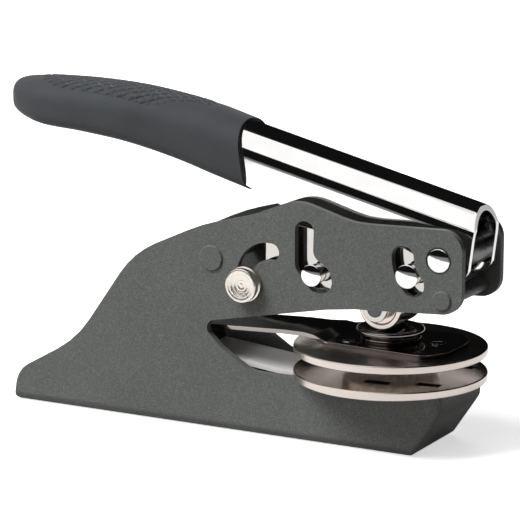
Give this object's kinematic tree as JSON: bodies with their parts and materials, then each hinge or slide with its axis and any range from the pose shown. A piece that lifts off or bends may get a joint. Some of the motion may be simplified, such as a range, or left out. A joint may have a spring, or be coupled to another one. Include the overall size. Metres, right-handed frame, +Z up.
{
  "type": "seal embosser",
  "caption": "Hand embosser with a pressed grey frame, a chrome lever with a rubber grip and two round dies held open by spring leaves, pressed together by a roller",
  "frame": {"origin": "centre of the part's bounding box, on the table under it", "axes": "+X towards the dies, +Z up, Y across the frame"},
  "size_m": [0.1392, 0.05, 0.0886],
  "materials": {
    "hammertone": "fine textured dark grey powder coat",
    "chrome": "bright polished chrome",
    "nickel": "satin nickel plate",
    "black_chrome": "polished black chrome",
    "dark_steel": "oiled dark steel",
    "rubber": "matte charcoal rubber",
    "die": "plain warm nickel die"
  },
  "bodies": {
    "root": {"frame": "hammertone", "rear_spacer": "hammertone", "front_spacer": "hammertone", "pivot_pin": "chrome", "anvil": "dark_steel", "lower_leaf": "nickel", "clip_block": "dark_steel", "clip_rivets": "nickel", "lower_disc": "nickel", "lower_disc_rivets": "nickel", "upper_leaf": "black_chrome"},
    "upper_die": {"upper_disc": "nickel", "die_plate": "die", "pressure_boss": "black_chrome", "boss_screw": "dark_steel", "upper_disc_rivets": "black_chrome"},
    "lever": {"handle_channel": "chrome", "pivot_bush": "dark_steel", "drive_pin": "chrome", "grip": "rubber"},
    "arm": {"press_arm": "nickel", "guide_pin": "chrome", "roller_axle": "dark_steel"},
    "roller_body": {"roller": "nickel"},
    "latch": {"latch_studs": "chrome", "latch_clips": "dark_steel", "latch_knobs": "nickel"}
  },
  "joints": [
    {"name": "lever_press", "type": "hinge", "parent": "root", "child": "lever", "pos_m": [0.06255, 0, 0.0515], "axis": [0, -1, 0], "range_deg": [-27, 14], "stiffness_Nm_per_rad": 3.5},
    {"name": "arm_swing", "type": "hinge", "parent": "lever", "child": "arm", "pos_m": [0.05407, 0, 0.0467], "axis": [0, -1, 0], "range_deg": [-15.4, 29.7]},
    {"name": "roller_spin", "type": "hinge", "parent": "arm", "child": "roller_body", "pos_m": [0.04355, 0, 0.0365], "axis": [0, 1, 0], "continuous": true},
    {"name": "die_slide", "type": "slide", "parent": "root", "child": "upper_die", "axis": [0, 0, 1], "range_m": [-0.0017, 0.0033], "deforming": ["upper_leaf"]},
    {"name": "latch_swing", "type": "hinge", "parent": "root", "child": "latch", "pos_m": [0.01475, 0, 0.0423], "axis": [0, 1, 0], "range_deg": [0, 115]}
  ],
  "couplings": [
    {"joint": "arm_swing", "follows": "lever_press", "ratio": -1.1},
    {"joint": "die_slide", "follows": "lever_press", "m_per_rad": -0.00695}
  ]
}
